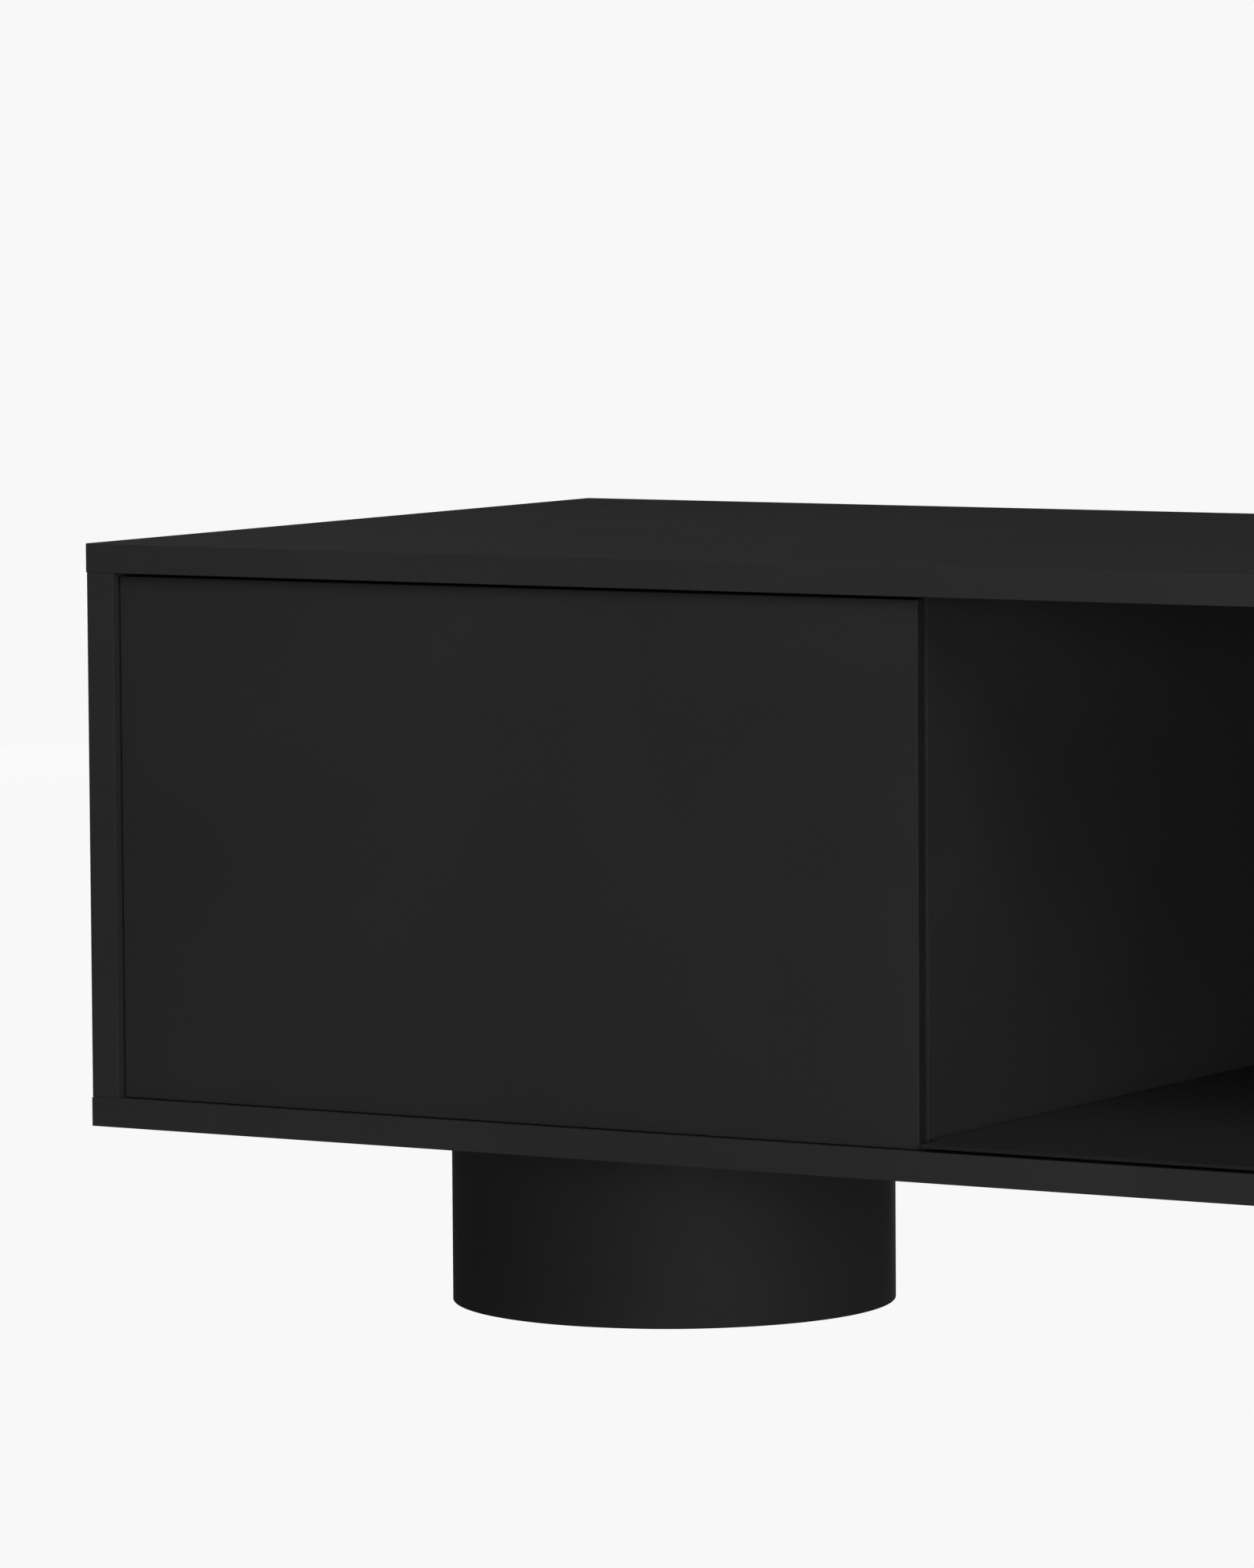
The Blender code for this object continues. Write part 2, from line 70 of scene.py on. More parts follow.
# A light is (name, azimuth, elevation, distance, width, height, watts) and looks at LIGHT_TARGET.
# Azimuth 0 is in front of the drawers and 90 is at the console's right-hand end.
LIGHT_TARGET = Vector((-0.30, -0.10, 0.25))
LIGHTS = (
    ("low_front", 30, 3, 4.0, 1.2, 0.9, 14.0),
    ("low_right", 50, 3, 4.0, 1.2, 0.9, 16.0),
    ("far_right", 66, 3, 4.0, 2.4, 0.9, 12.0),
    ("high_front", 25, 45, 4.0, 2.4, 2.4, 51.0),
    ("high_left", -60, 45, 4.0, 2.4, 2.4, 5.0),
    ("near_left", -100, 38, 2.2, 1.2, 1.2, 4.0),
    ("rear_high", -150, 30, 4.0, 2.4, 2.4, 1.8),
    ("rear_low", -150, -0.7, 4.0, 2.4, 0.38, 32.0),
)

# Glue beads in the joints between the carcass's panels.
BEAD_INSET = 0.00012  # they lie this far below the lacquered surface
BEAD_HOLLOW = 0.00006  # and are hollow by this much in the middle

# Screws. A share is a place along a board or rail, from 0 at its low end to 1 at its high end.
SCREW_RADIUS = 0.0034
SCREW_HEIGHT = 0.0016
FRONT_SCREW_RADIUS = 0.0038
FRONT_SCREW_HEIGHT = 0.0018
SIDE_SCREW_HEIGHT = 0.0008
BACK_BOARD_SHARES = (0.12, 0.37, 0.63, 0.88)
FIXED_RAIL_SHARES = (0.06, 0.35, 0.65, 0.94)
DRAWER_FRONT_SHARES_X = (0.10, 0.36, 0.64, 0.90)
DRAWER_FRONT_SHARES_Z = (0.30, 0.80)
DRAWER_SIDE_SHARES = (0.25, 0.58, 0.90)
DRAWER_SIDE_INSET = 0.006  # from the box sides' ends
FIXED_RAIL_RISE = 0.0205  # above the rails' undersides
BASE_PLATE_SCREWS = 6
BASE_PLATE_CIRCLE = 0.093  # the radius of the circle they lie on
SCREW_TURN = 37.0  # degrees from one screw's cross to the next one's
CROSS_ANGLES = (28.0, 45.0, 62.0)  # points of a cross between its arms, in degrees

# Runners. A profile point is (share of the radius, share of the width).
RAIL_SHEET = 0.0015  # the rails' sheet steel
ROLLER_COUNT = 9
ROLLER_PLAY = 0.0004
ROLLER_INSET = 0.02  # from the rails' ends
ROLLER_WIDTH = 0.42  # share of the channel's clear width
ROLLER_STEPS = 20
ROLLER_PROFILE = (
    (0.0, 0.0),
    (0.55, 0.0),
    (0.60, 0.08),
    (0.93, 0.08),
    (1.0, 0.16),
    (1.0, 0.84),
    (0.93, 0.92),
    (0.60, 0.92),
    (0.55, 1.0),
    (0.0, 1.0),
)

# Felt bumpers on the dividers. A profile point is (radius, share of the thickness).
BUMPER_INSET = 0.030  # from the dividers' upper and lower ends
BUMPER_SHIFT = 0.002  # from the edge's middle towards the drawer
BUMPER_PLAY = 0.0004  # left before the drawer front
BUMPER_STEPS = 28
BUMPER_PROFILE = ((0.0, 0.0), (0.0040, 0.0), (0.0042, 0.5), (0.0036, 1.0), (0.0, 1.0))


def node(tree, kind, inputs=None, **settings):
    """A new shader node. An input is a plain value or another node's output."""
    made = tree.nodes.new(kind)
    for name, value in settings.items():
        setattr(made, name, value)
    for key, value in (inputs or {}).items():
        if isinstance(value, bpy.types.NodeSocket):
            tree.links.new(value, made.inputs[key])
        else:
            made.inputs[key].default_value = value
    return made


def new_material(name, **constants):
    """A material with only a Principled shader, whose sockets get those constants (underscores stand
    for spaces). Returns the material, its tree and the shader."""
    material = bpy.data.materials.new(name)
    material.use_nodes = True
    tree = material.node_tree
    shader = tree.nodes["Principled BSDF"]
    for socket, value in constants.items():
        shader.inputs[socket.replace("_", " ")].default_value = value
    return material, tree, shader


def tints(shade, *factors):
    """That colour times each of the factors."""
    return [tuple(part * factor for part in shade) for factor in factors]


def where(tree, scale=(1.0, 1.0, 1.0), turn=(0.0, 0.0, 0.0)):
    """The piece's own coordinates in metres, stretched by scale and turned by degrees."""
    own = node(tree, "ShaderNodeTexCoord").outputs["Object"]
    angles = tuple(math.radians(degrees) for degrees in turn)
    mapping = node(tree, "ShaderNodeMapping", {"Vector": own, "Rotation": angles, "Scale": scale})
    return mapping.outputs["Vector"]


def noise(tree, vector, scale, detail=3.0, roughness=0.5, distortion=0.0):
    """Noise from 0 to 1."""
    inputs = {
        "Vector": vector,
        "Scale": scale,
        "Detail": detail,
        "Roughness": roughness,
        "Distortion": distortion,
    }
    return node(tree, "ShaderNodeTexNoise", inputs).outputs["Fac"]


def cells(tree, vector, scale, feature="F1"):
    """The distance to the nearest of many scattered points."""
    inputs = {"Vector": vector, "Scale": scale}
    return node(tree, "ShaderNodeTexVoronoi", inputs, feature=feature).outputs["Distance"]


def spread(tree, value, low, high, to_low, to_high):
    """value moved from the range low-high to the range to_low-to_high, and kept inside it."""
    inputs = {
        "Value": value,
        "From Min": low,
        "From Max": high,
        "To Min": to_low,
        "To Max": to_high,
    }
    return node(tree, "ShaderNodeMapRange", inputs).outputs["Result"]


def math_node(tree, operation, first, second):
    return node(tree, "ShaderNodeMath", {0: first, 1: second}, operation=operation).outputs[0]


def blend_colours(tree, factor, first, second):
    """first where factor is 0, second where it is 1. A colour is three numbers or a node's output."""
    made = node(tree, "ShaderNodeMix", {0: factor}, data_type="RGBA")
    for socket, colour in ((made.inputs[6], first), (made.inputs[7], second)):
        if isinstance(colour, bpy.types.NodeSocket):
            tree.links.new(colour, socket)
        else:
            socket.default_value = (*colour, 1.0)
    return made.outputs[2]


def relief(tree, height, depth, below=None):
    """A bump of that depth in metres, on top of another bump."""
    inputs = {"Height": height, "Distance": depth, "Strength": 1.0}
    if below is not None:
        inputs["Normal"] = below
    return node(tree, "ShaderNodeBump", inputs).outputs["Normal"]


def facing(tree, axis):
    """1 on faces that look along that axis (0, 1 or 2), either way, and 0 on the others."""
    normal = node(tree, "ShaderNodeTexCoord").outputs["Normal"]
    parts = node(tree, "ShaderNodeSeparateXYZ", {0: normal})
    size = node(tree, "ShaderNodeMath", {0: parts.outputs[axis]}, operation="ABSOLUTE").outputs[0]
    return spread(tree, size, 0.6, 0.9, 0.0, 1.0)


def wire(tree, shader, **sockets):
    """Links node outputs to the shader's sockets, named with underscores for spaces."""
    for name, output in sockets.items():
        tree.links.new(output, shader.inputs[name.replace("_", " ")])


def lacquer(name, shade, roughness, gloss, peel):
    """Sprayed matte lacquer: a fine orange peel over a slow unevenness in colour and sheen."""
    material, tree, shader = new_material(name, Specular_IOR_Level=gloss)
    here = where(tree)
    cloud = noise(tree, here, 7.0, detail=4.0, distortion=0.6)
    speck = noise(tree, here, 620.0, detail=2.0, roughness=0.6)
    dark, light, flecked = tints(shade, 0.93, 1.07, 1.16)
    clouded = blend_colours(tree, spread(tree, cloud, 0.3, 0.7, 0.0, 1.0), dark, light)
    colour = blend_colours(tree, spread(tree, speck, 0.62, 0.74, 0.0, 0.5), clouded, flecked)
    passes = noise(tree, where(tree, (2.0, 9.0, 9.0)), 3.0, detail=2.0)
    uneven = math_node(tree, "ADD", cloud, passes)
    sheen = spread(tree, uneven, 0.7, 1.3, roughness - 0.035, roughness + 0.035)
    rough = math_node(tree, "ADD", sheen, spread(tree, speck, 0.3, 0.7, -0.02, 0.02))
    peeled = relief(tree, noise(tree, here, 330.0, detail=1.0), peel)
    grained = relief(tree, noise(tree, here, 2600.0, detail=2.0), peel * 0.25, peeled)
    wire(tree, shader, Base_Color=colour, Roughness=rough, Normal=grained)
    return material


def hardboard(name, shade):
    """Painted hardboard: short pressed fibres under a thin dull paint."""
    material, tree, shader = new_material(name, Specular_IOR_Level=0.3)
    pressed = where(tree, (160.0, 160.0, 420.0))
    fibres = noise(tree, pressed, 1.0, detail=5.0, roughness=0.7, distortion=1.4)
    cloud = noise(tree, where(tree), 9.0, detail=5.0)
    dark, light = tints(shade, 0.8, 1.25)
    colour = blend_colours(tree, math_node(tree, "MULTIPLY", fibres, cloud), dark, light)
    rough = spread(tree, fibres, 0.3, 0.7, 0.62, 0.78)
    wire(tree, shader, Base_Color=colour, Roughness=rough, Normal=relief(tree, fibres, 0.00006))
    return material


def laminate(name, shade):
    """Pressed laminate sheet with a close pearl emboss, and painted shade on its edges, which are
    coloured darker than its faces.
    """
    material, tree, shader = new_material(name, Specular_IOR_Level=0.35)
    here = where(tree)
    pearl = cells(tree, here, 900.0, "SMOOTH_F1")
    cloud = noise(tree, here, 12.0, detail=4.0)
    # The third tint, 0.62 of the sheet's colour, is painted shade for the sheet's edges.
    dark, light, painted_edge_shade = tints(shade, 0.94, 1.06, 0.62)
    face = blend_colours(tree, spread(tree, cloud, 0.3, 0.7, 0.0, 1.0), dark, light)
    # Faces that don't look up or down take the painted shade.
    colour = blend_colours(tree, facing(tree, 2), painted_edge_shade, face)
    rough = spread(tree, noise(tree, here, 55.0), 0.3, 0.7, 0.50, 0.54)
    wire(tree, shader, Base_Color=colour, Roughness=rough, Normal=relief(tree, pearl, 0.00003))
    return material


def melamine(name, shade):
    """Melamine-faced board: a faint woven print with a fine pore, and smoother tape on its upper and
    lower edges."""
    material, tree, shader = new_material(name, Specular_IOR_Level=0.4)
    warp = noise(tree, where(tree, (520.0, 40.0, 520.0)), 1.0, detail=2.0)
    weft = noise(tree, where(tree, (520.0, 520.0, 40.0)), 1.0, detail=2.0)
    weave = math_node(tree, "ADD", warp, weft)
    dark, light, taped = tints(shade, 0.78, 1.22, 0.92)
    face = blend_colours(tree, spread(tree, weave, 0.7, 1.3, 0.0, 1.0), dark, light)
    tape = facing(tree, 2)
    colour = blend_colours(tree, tape, face, taped)
    pore = spread(tree, noise(tree, where(tree), 1500.0, detail=1.0), 0.35, 0.65, 0.52, 0.64)
    rough = math_node(tree, "SUBTRACT", pore, math_node(tree, "MULTIPLY", tape, 0.14))
    emboss = math_node(tree, "MULTIPLY", weave, spread(tree, tape, 0.0, 1.0, 1.0, 0.1))
    wire(tree, shader, Base_Color=colour, Roughness=rough, Normal=relief(tree, emboss, 0.00003))
    return material


def plywood(name):
    """Raw birch plywood: figured faces, and edges that show the crossed layers."""
    material, tree, shader = new_material(name, Specular_IOR_Level=0.3)
    grown = where(tree, (14.0, 1.6, 14.0))
    figure = noise(tree, grown, 1.0, detail=6.0, roughness=0.6, distortion=0.8)
    pores = noise(tree, where(tree, (900.0, 60.0, 900.0)), 1.0, detail=2.0)
    pale, tan, brown = (0.62, 0.45, 0.27), (0.46, 0.30, 0.16), (0.25, 0.14, 0.07)
    grain = blend_colours(tree, spread(tree, figure, 0.35, 0.65, 0.0, 1.0), pale, tan)
    face = blend_colours(tree, spread(tree, pores, 0.58, 0.72, 0.0, 0.35), grain, brown)
    height = node(tree, "ShaderNodeSeparateXYZ", {0: where(tree, (1.0, 1.0, 2300.0))}).outputs[2]
    layers = node(tree, "ShaderNodeMath", {0: height}, operation="SINE").outputs[0]
    edge = blend_colours(tree, spread(tree, layers, -0.25, 0.25, 0.0, 1.0), tan, pale)
    flat = facing(tree, 2)
    colour = blend_colours(tree, flat, edge, face)
    rough = spread(tree, figure, 0.3, 0.7, 0.58, 0.70)
    raised = math_node(tree, "ADD", pores, math_node(tree, "MULTIPLY", layers, 0.4))
    wire(tree, shader, Base_Color=colour, Roughness=rough, Normal=relief(tree, raised, 0.00005))
    return material


def felt(name, shade):
    """Needle felt: matted fibres that run every way, with a soft bloom."""
    material, tree, shader = new_material(
        name,
        Sheen_Weight=0.25,
        Sheen_Roughness=0.6,
        Specular_IOR_Level=0.1,
    )
    first_lay = where(tree, (2600.0, 420.0, 900.0), (0, 0, 24))
    across = noise(tree, first_lay, 1.0, detail=3.0, distortion=2.0)
    second_lay = where(tree, (420.0, 2600.0, 900.0), (0, 0, -37))
    along = noise(tree, second_lay, 1.0, detail=3.0, distortion=2.0)
    mat = math_node(tree, "MAXIMUM", across, along)
    dark, light = tints(shade, 0.55, 1.7)
    colour = blend_colours(tree, spread(tree, mat, 0.45, 0.72, 0.0, 1.0), dark, light)
    rough = spread(tree, mat, 0.4, 0.7, 0.98, 0.88)
    wire(tree, shader, Base_Color=colour, Roughness=rough, Normal=relief(tree, mat, 0.0002))
    return material


def zinc(name, shade, stretch):
    """Zinc-plated steel: drawn lines, clouded bright plating and small dull spots."""
    material, tree, shader = new_material(name, Metallic=1.0)
    lines = noise(tree, where(tree, stretch), 1.0, detail=4.0, roughness=0.65)
    cloud = noise(tree, where(tree), 38.0, detail=4.0)
    spots = cells(tree, where(tree), 120.0)
    dark, light = tints(shade, 0.82, 1.1)
    colour = blend_colours(tree, spread(tree, cloud, 0.3, 0.7, 0.0, 1.0), dark, light)
    drawn = spread(tree, lines, 0.3, 0.7, 0.26, 0.40)
    rough = math_node(tree, "ADD", drawn, spread(tree, spots, 0.0, 0.25, 0.10, 0.0))
    wire(tree, shader, Base_Color=colour, Roughness=rough, Normal=relief(tree, lines, 0.00001))
    return material


def moulded(name, shade, roughness):
    """Moulded plastic with a spark-eroded grain."""
    material, tree, shader = new_material(name)
    here = where(tree)
    grain = noise(tree, here, 2200.0, detail=2.0)
    flow = noise(tree, here, 60.0, detail=3.0, distortion=1.0)
    dark, light = tints(shade, 0.92, 1.08)
    colour = blend_colours(tree, spread(tree, flow, 0.3, 0.7, 0.0, 1.0), dark, light)
    rough = spread(tree, grain, 0.3, 0.7, roughness - 0.05, roughness + 0.06)
    wire(tree, shader, Base_Color=colour, Roughness=rough, Normal=relief(tree, grain, 0.00002))
    return material


CARCASS_LACQUER = lacquer("carcass_black_lacquer", (0.0420, 0.0420, 0.0424), 0.64, 0.30, 0.000012)
FRONT_LACQUER = lacquer("front_black_lacquer", (0.0362, 0.0362, 0.0366), 0.66, 0.30, 0.000012)
FOOT_LACQUER = lacquer("foot_black_lacquer", (0.0390, 0.0390, 0.0394), 0.64, 0.30, 0.000014)
BACK_PAINT = hardboard("painted_hardboard", (0.034, 0.034, 0.034))
LINER = laminate("black_laminate", (0.0345, 0.0345, 0.0349))
BOX = melamine("anthracite_melamine", (0.058, 0.059, 0.062))
PLY = plywood("birch_plywood")
FELT = felt("needle_felt", (0.015, 0.015, 0.015))
RAIL_ZINC = zinc("zinc_plated_rail", (0.58, 0.60, 0.62), (900.0, 12.0, 900.0))
SCREW_ZINC = zinc("zinc_plated_screw", (0.60, 0.60, 0.60), (500.0, 500.0, 500.0))
CLIP = moulded("grey_moulded_plastic", (0.20, 0.20, 0.21), 0.48)
ROLLER = moulded("white_roller_plastic", (0.72, 0.72, 0.70), 0.40)

SLOT_MATERIALS = {
    "carcass_lacquer": CARCASS_LACQUER,
    "front_lacquer": FRONT_LACQUER,
    "foot_lacquer": FOOT_LACQUER,
    "back_board": BACK_PAINT,
    "bay_liner": LINER,
    "drawer_box": BOX,
    "plywood": PLY,
    "felt": FELT,
    "zinc_steel": RAIL_ZINC,
    "clip_plastic": CLIP,
}

# Turned pieces that take the place of coarser CAD ones: (CAD node, piece, thickness of the wall,
# rounding of its corners, distance of the holding lines from it, steps round, material, slot).
TURNED = (
    ("foot_drum", "turned_drum", 0.014, 0.0005, 0.0008, 192, FOOT_LACQUER, "foot_lacquer"),
    ("foot_felt_ring", "felt_glide", 0.024, 0.0003, 0.0001, 160, FELT, "felt"),
)


def finish_cad_nodes():
    """Gives every CAD node the material of its slot, and the bolts the screws' zinc."""
    for name, obj in NODES.items():
        for holder in obj.material_slots:
            slot = holder.material.name.split(".")[0]
            chosen = SLOT_MATERIALS[slot]
            holder.material = SCREW_ZINC if name.startswith("foot_bolt") else chosen


def new_piece(name, shape, material, body, smooth_below=35):
    """Makes a bmesh a piece that rides on that body. Edges over smooth_below degrees stay sharp."""
    bmesh.ops.recalc_face_normals(shape, faces=shape.faces)
    mesh = bpy.data.meshes.new(name)
    shape.to_mesh(mesh)
    shape.free()
    mesh.materials.append(material)
    mesh.shade_smooth()
    mesh.set_sharp_from_angle(angle=math.radians(smooth_below))
    piece = bpy.data.objects.new(name, mesh)
    SCENE.collection.objects.link(piece)
    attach(piece, body)
    return piece


def add_turned(shape, rings, place=Matrix.Identity(4)):
    """Adds a body with skin between each ring and the next. A ring is a list of (x, y, z) points, or
    one point at a pole. The last ring joins the first where neither is a pole: a tube closes."""
    made = [[shape.verts.new(place @ Vector(point)) for point in ring] for ring in rings]
    pairs = list(zip(made, made[1:]))
    if len(made[0]) > 1 and len(made[-1]) > 1:
        pairs.append((made[-1], made[0]))
    for lower, upper in pairs:
        count = max(len(lower), len(upper))
        for i in range(count):
            after = (i + 1) % count
            if len(lower) == 1:
                corners = (lower[0], upper[after], upper[i])
            elif len(upper) == 1:
                corners = (lower[i], lower[after], upper[0])
            else:
                corners = (lower[i], lower[after], upper[after], upper[i])
            shape.faces.new(corners)


def circle(radius, height, steps):
    """A ring of points round the Z axis, or one point on it where radius is 0."""
    if radius == 0:
        return [(0.0, 0.0, height)]
    angles = [2 * math.pi * i / steps for i in range(steps)]
    return [(radius * math.cos(angle), radius * math.sin(angle), height) for angle in angles]


def add_lathed(shape, section, steps, place):
    """Adds the body that a section of (radius, height) points sweeps round the Z axis."""
    add_turned(shape, [circle(radius, height, steps) for radius, height in section], place)


def quarter(radius, height, arris, start_degrees, steps=5):
    """(radius, height) points of a corner rounded about that centre, clockwise from start_degrees."""
    points = []
    for i in range(steps + 1):
        angle = math.radians(start_degrees - 90 * i / steps)
        points.append((radius + arris * math.cos(angle), height + arris * math.sin(angle)))
    return points


def tube_profile(outer, inner, low, high, arris, hold):
    """Closed section of a tube with four rounded corners. A holding line lies hold away from each end
    of a rounding, so that the long faces stay evenly shaded."""
    return (
        [(inner + arris + hold, high)]
        + [(outer - arris - hold, high)]
        + quarter(outer - arris, high - arris, arris, 90)
        + [(outer, high - arris - hold), (outer, low + arris + hold)]
        + quarter(outer - arris, low + arris, arris, 0)
        + [(outer - arris - hold, low), (inner + arris + hold, low)]
        + quarter(inner + arris, low + arris, arris, 270)
        + [(inner, low + arris + hold), (inner, high - arris - hold)]
        + quarter(inner + arris, high - arris, arris, 180)
    )


def middle_of(low, high):
    return (low + high) / 2


def make_feet():
    """Finer turned drums and felt rings in place of the coarse CAD ones."""
    for hand, _ in HANDS:
        centre = middle_of(*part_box(f"foot_drum_{hand}"))
        place = Matrix.Translation((centre.x, centre.y, 0.0))
        for coarse, fine, wall, arris, hold, steps, material, slot in TURNED:
            cad_node = f"{coarse}_{hand}"
            low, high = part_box(cad_node)
            outer = (high.x - low.x) / 2
            shape = bmesh.new()
            section = tube_profile(outer, outer - wall, low.z, high.z, arris, hold)
            add_lathed(shape, section, steps, place)
            piece = new_piece(f"{fine}_{hand}", shape, material, "carcass", 60)
            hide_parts(cad_node)


def cross_ring(arm, half_width, height, base_radius=None):
    """A ring of 24 points that follows a cross, or the circle of base_radius where that is given."""
    corner = math.degrees(math.atan2(half_width, arm))
    points = []
    for quadrant in range(4):
        for step in (0.0, corner, *CROSS_ANGLES, 90.0 - corner):
            angle = math.radians(step)
            along, across = math.cos(angle), math.sin(angle)
            if step > 45.0:
                along, across = across, along
            reach = min(arm / max(along, 1e-6), half_width / max(across, 1e-6))
            radius = base_radius or reach
            turn = angle + math.radians(90.0 * quadrant)
            points.append((radius * math.cos(turn), radius * math.sin(turn), height))
    return points


def add_screw(shape, radius, height, place):
    """A flat-domed screw head with a cross recess, whose underside is at height 0 and top looks up."""
    arm, half_width = radius * 0.52, radius * 0.13
    rings = [
        [(0.0, 0.0, 0.0)],
        cross_ring(arm, half_width, 0.0, radius),
        cross_ring(arm, half_width, height * 0.35, radius),
        cross_ring(arm, half_width, height * 0.75, radius * 0.90),
        cross_ring(arm, half_width, height, radius * 0.66),
        cross_ring(arm, half_width, height),
        cross_ring(arm * 0.55, half_width * 0.9, height * 0.25),
        [(0.0, 0.0, height * 0.12)],
    ]
    add_turned(shape, rings, place)


def make_screws(name, spots, axis, body, radius=SCREW_RADIUS, height=SCREW_HEIGHT):
    """One piece with a screw at each of those points. The heads look along axis."""
    turn = Vector(axis).to_track_quat("Z", "Y").to_matrix().to_4x4()
    shape = bmesh.new()
    for i, spot in enumerate(spots):
        own_turn = Matrix.Rotation(math.radians(SCREW_TURN * i), 4, "Z")
        add_screw(shape, radius, height, Matrix.Translation(spot) @ turn @ own_turn)
    new_piece(name, shape, SCREW_ZINC, body)


def plan_ring(low, high, inset, height):
    """The corners of a box's outline seen from above, drawn in by inset."""
    return [
        (low.x + inset, low.y + inset, height),
        (high.x - inset, low.y + inset, height),
        (high.x - inset, high.y - inset, height),
        (low.x + inset, high.y - inset, height),
    ]


def make_joint_beads():
    """Lacquered glue between the uprights and the top and bottom panels, just below the surface."""
    panel_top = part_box("bottom_panel")[1].z
    panel_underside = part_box("top_panel")[0].z
    for hand, _ in HANDS:
        for board in (f"side_panel_{hand}", f"divider_{hand}"):
            low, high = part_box(board)
            centre = middle_of(low, high)
            shape = bmesh.new()
            for bottom, top in ((panel_top, low.z), (high.z, panel_underside)):
                rings = [
                    [(centre.x, centre.y, bottom)],
                    plan_ring(low, high, BEAD_INSET, bottom),
                    plan_ring(low, high, BEAD_INSET + BEAD_HOLLOW, middle_of(bottom, top)),
                    plan_ring(low, high, BEAD_INSET, top),
                    [(centre.x, centre.y, top)],
                ]
                add_turned(shape, rings)
            new_piece(f"{board}_joint_beads", shape, CARCASS_LACQUER, "carcass")


def make_carcass_screws():
    """Screws through the back board into the dividers, and through each foot's base plate."""
    back_low, back_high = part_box("back_board")
    spots = []
    for hand, _ in HANDS:
        low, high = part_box(f"divider_{hand}")
        x = middle_of(low, high).x
        for share in BACK_BOARD_SHARES:
            z = back_low.z + share * (back_high.z - back_low.z)
            spots.append(Vector((x, back_high.y, z)))
    make_screws("back_board_screws", spots, (0, 1, 0), "carcass")

    for hand, sign in HANDS:
        low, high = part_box(f"foot_base_plate_{hand}")
        centre = middle_of(low, high)
        spots = []
        for i in range(BASE_PLATE_SCREWS):
            angle = math.radians(360 / BASE_PLATE_SCREWS * (i + 0.5))
            x = centre.x + sign * BASE_PLATE_CIRCLE * math.cos(angle)
            y = centre.y + BASE_PLATE_CIRCLE * math.sin(angle)
            spots.append(Vector((x, y, high.z)))
        make_screws(f"base_plate_screws_{hand}", spots, (0, 0, 1), "carcass")


def make_runner_parts():
    """Screws through each fixed rail's leg into the wall, and rollers in each middle rail."""
    for hand, sign in HANDS:
        for side in ("outer", "inner"):
            runner = f"runner_{hand}_{side}"
            low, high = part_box(f"{runner}_fixed_rail")
            inward = -sign if side == "outer" else sign
            x = (low.x if inward > 0 else high.x) + inward * RAIL_SHEET
            z = low.z + FIXED_RAIL_RISE
            spots = [Vector((x, low.y + share * (high.y - low.y), z)) for share in FIXED_RAIL_SHARES]
            make_screws(f"{runner}_screws", spots, (inward, 0, 0), "carcass")
            rail_low, rail_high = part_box(f"{runner}_middle_rail")
            make_rollers(f"{runner}_rollers", rail_low, rail_high, f"middle_rails_{hand}")


def make_rollers(name, low, high, body):
    """Pairs of rollers that lie across the middle rail's channel."""
    floor = low.z + RAIL_SHEET
    radius = (high.z - floor) / 2 - ROLLER_PLAY / 2
    axle = floor + radius + ROLLER_PLAY / 4
    left = low.x + RAIL_SHEET + ROLLER_PLAY
    right = high.x - RAIL_SHEET - ROLLER_PLAY
    width = (right - left) * ROLLER_WIDTH
    section = [(radius * out, width * along) for out, along in ROLLER_PROFILE]
    lie = Matrix.Rotation(math.radians(90), 4, "Y")
    shape = bmesh.new()
    for i in range(ROLLER_COUNT):
        y = low.y + ROLLER_INSET + (high.y - low.y - 2 * ROLLER_INSET) * i / (ROLLER_COUNT - 1)
        for x in (left, right - width):
            add_lathed(shape, section, ROLLER_STEPS, Matrix.Translation((x, y, axle)) @ lie)
    new_piece(name, shape, ROLLER, body)


def make_drawer_screws():
    """Screws through the inner front into the drawer front, and through the sides into the ends."""
    for hand, sign in HANDS:
        body = f"drawer_{hand}"
        low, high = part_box(f"drawer_box_{hand}_inner_front")
        spots = [
            Vector((low.x + share_x * (high.x - low.x), high.y, low.z + share_z * (high.z - low.z)))
            for share_x in DRAWER_FRONT_SHARES_X
            for share_z in DRAWER_FRONT_SHARES_Z
        ]
        name = f"drawer_{hand}_front_screws"
        make_screws(name, spots, (0, 1, 0), body, FRONT_SCREW_RADIUS, FRONT_SCREW_HEIGHT)
        for side in ("outer", "inner"):
            low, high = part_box(f"drawer_box_{hand}_{side}_side")
            outward = sign if side == "outer" else -sign
            x = high.x if outward > 0 else low.x
            spots = [
                Vector((x, y, low.z + share * (high.z - low.z)))
                for y in (low.y + DRAWER_SIDE_INSET, high.y - DRAWER_SIDE_INSET)
                for share in DRAWER_SIDE_SHARES
            ]
            name = f"drawer_{hand}_{side}_side_screws"
            make_screws(name, spots, (outward, 0, 0), body, height=SIDE_SCREW_HEIGHT)


def make_bumpers():
    """Felt dots on the dividers' front edges, which the drawer fronts close against."""
    rise = Matrix.Rotation(math.radians(90), 4, "X")
    for hand, sign in HANDS:
        low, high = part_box(f"divider_{hand}")
        front_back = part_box(f"drawer_front_{hand}")[1].y
        x = middle_of(low, high).x + sign * BUMPER_SHIFT
        thickness = low.y - front_back - BUMPER_PLAY
        section = [(radius, thickness * share) for radius, share in BUMPER_PROFILE]
        shape = bmesh.new()
        for z in (low.z + BUMPER_INSET, high.z - BUMPER_INSET):
            add_lathed(shape, section, BUMPER_STEPS, Matrix.Translation((x, low.y, z)) @ rise)
        new_piece(f"divider_{hand}_bumpers", shape, FELT, "carcass")


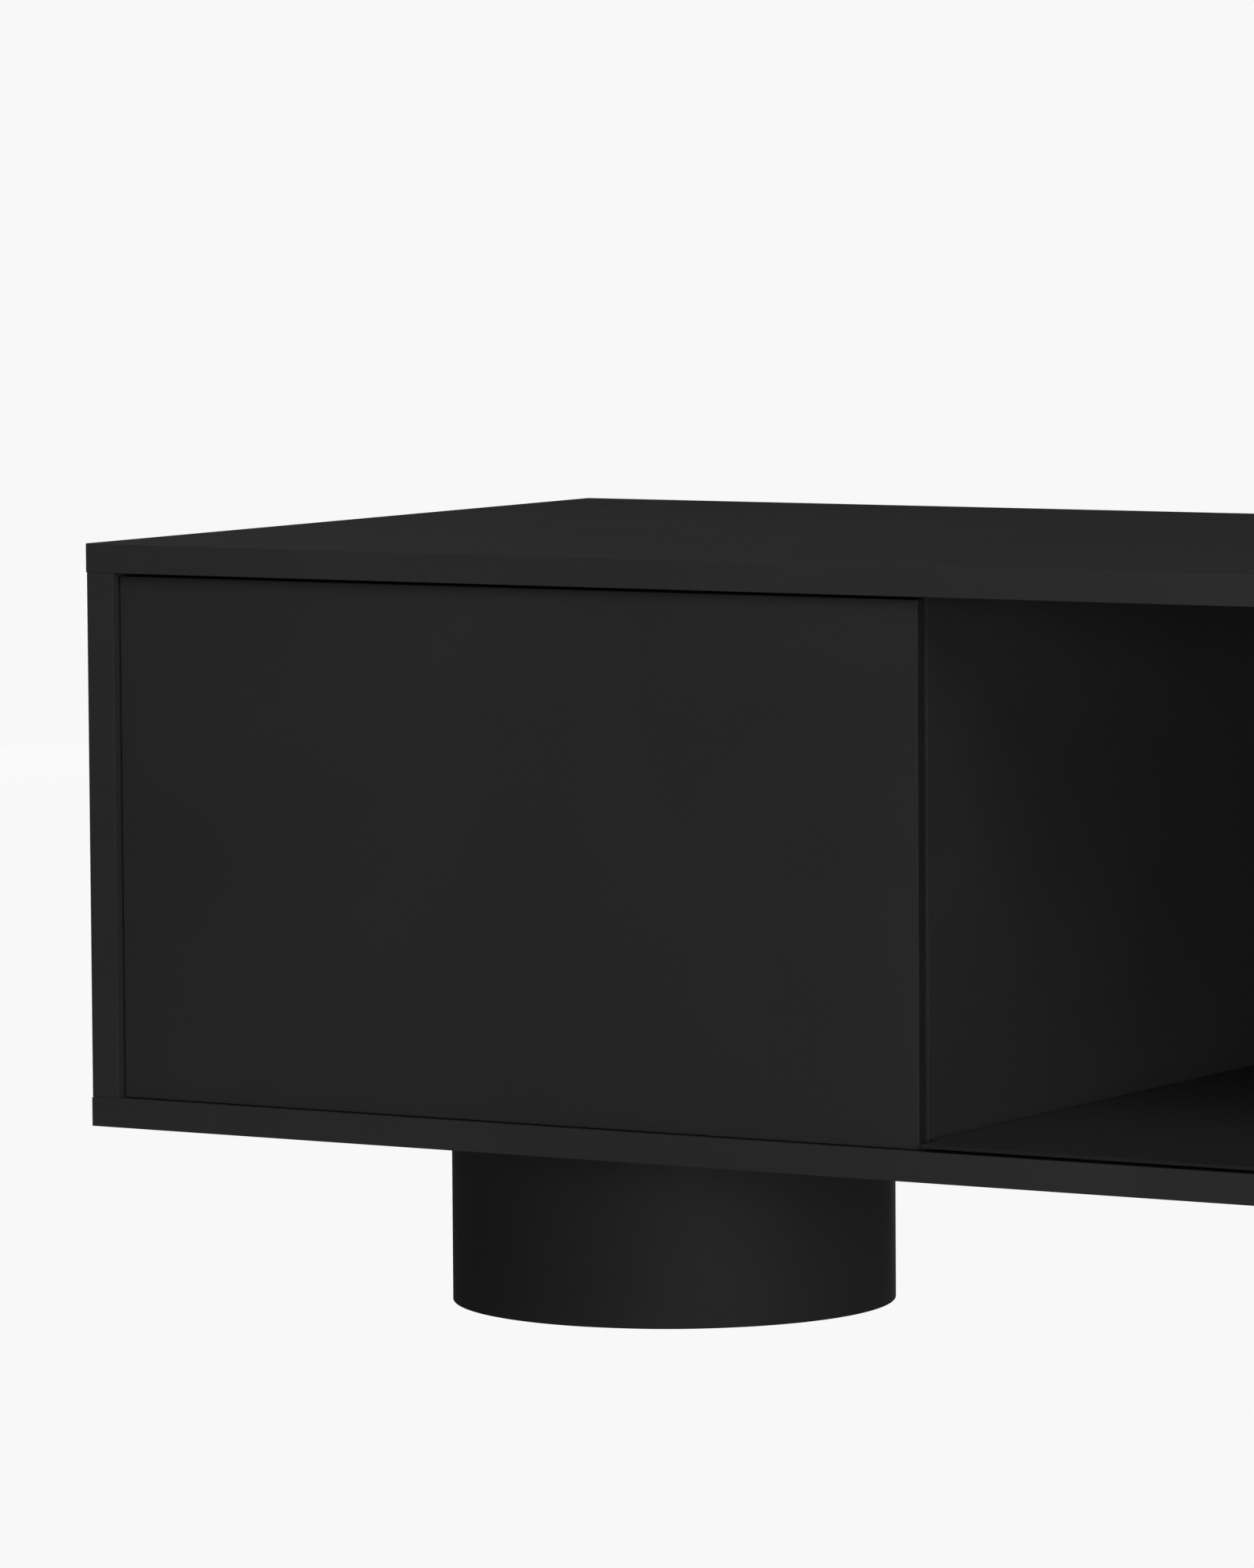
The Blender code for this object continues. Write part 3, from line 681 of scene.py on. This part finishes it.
def make_camera():
    data = bpy.data.cameras.new("camera")
    data.lens = CAMERA_LENS
    data.sensor_width = CAMERA_SENSOR
    data.sensor_fit = "AUTO"
    data.clip_start = CAMERA_NEAR
    data.clip_end = CAMERA_FAR
    camera = bpy.data.objects.new("camera", data)
    turn = Matrix.Rotation(math.radians(CAMERA_TURN), 4, "Z")
    tilt = Matrix.Rotation(math.radians(90.0 - CAMERA_DOWN), 4, "X")
    roll = Matrix.Rotation(math.radians(CAMERA_ROLL), 4, "Z")
    camera.matrix_world = Matrix.Translation(CAMERA_PLACE) @ turn @ tilt @ roll
    SCENE.collection.objects.link(camera)
    SCENE.camera = camera


def make_lights():
    """Area lights that the camera doesn't see."""
    for name, azimuth, elevation, distance, width, height, watts in LIGHTS:
        data = bpy.data.lights.new(name, "AREA")
        data.shape = "RECTANGLE"
        data.size = width
        data.size_y = height
        data.energy = watts
        light = bpy.data.objects.new(name, data)
        around, up = math.radians(azimuth), math.radians(elevation)
        flat = math.cos(up)
        back = Vector((math.sin(around) * flat, -math.cos(around) * flat, math.sin(up)))
        light.location = LIGHT_TARGET + back * distance
        light.rotation_euler = (-back).to_track_quat("-Z", "Y").to_euler()
        light.visible_camera = False
        SCENE.collection.objects.link(light)


def make_floor():
    """A pale floor as bright as the backdrop, on which shadows hardly show. It throws light back."""
    mesh = bpy.data.meshes.new("floor")
    half = FLOOR_SIZE / 2
    corners = [(-half, -half, 0.0), (half, -half, 0.0), (half, half, 0.0), (-half, half, 0.0)]
    mesh.from_pydata(corners, [], [(0, 1, 2, 3)])
    material, tree, shader = new_material(
        "floor_paint",
        Base_Color=(FLOOR_ALBEDO, FLOOR_ALBEDO, FLOOR_ALBEDO, 1.0),
        Roughness=1.0,
        Specular_IOR_Level=0.0,
        Emission_Color=(1.0, 1.0, 1.0, 1.0),
    )
    is_camera = node(tree, "ShaderNodeLightPath").outputs["Is Camera Ray"]
    glow = spread(tree, is_camera, 0.0, 1.0, FLOOR_BOUNCE, FLOOR_GLOW)
    wire(tree, shader, Emission_Strength=glow)
    mesh.materials.append(material)
    floor = bpy.data.objects.new("floor", mesh)
    SCENE.collection.objects.link(floor)


def make_world():
    """A plain pale backdrop that gives only a little light."""
    world = bpy.data.worlds.new("studio")
    SCENE.world = world
    world.use_nodes = True
    tree = world.node_tree
    tree.nodes.clear()
    white = (1.0, 1.0, 1.0, 1.0)
    seen = node(tree, "ShaderNodeBackground", {"Color": (BACKDROP, BACKDROP, BACKDROP, 1.0)})
    fill = node(tree, "ShaderNodeBackground", {"Color": white, "Strength": WORLD_LIGHT})
    is_camera = node(tree, "ShaderNodeLightPath").outputs["Is Camera Ray"]
    choice = {0: is_camera, 1: fill.outputs[0], 2: seen.outputs[0]}
    mixed = node(tree, "ShaderNodeMixShader", choice)
    node(tree, "ShaderNodeOutputWorld", {"Surface": mixed.outputs[0]})


SCENE.view_settings.view_transform = "Standard"
make_camera()
make_world()
make_floor()
make_lights()
finish_cad_nodes()
make_feet()
make_joint_beads()
make_carcass_screws()
make_runner_parts()
make_drawer_screws()
make_bumpers()
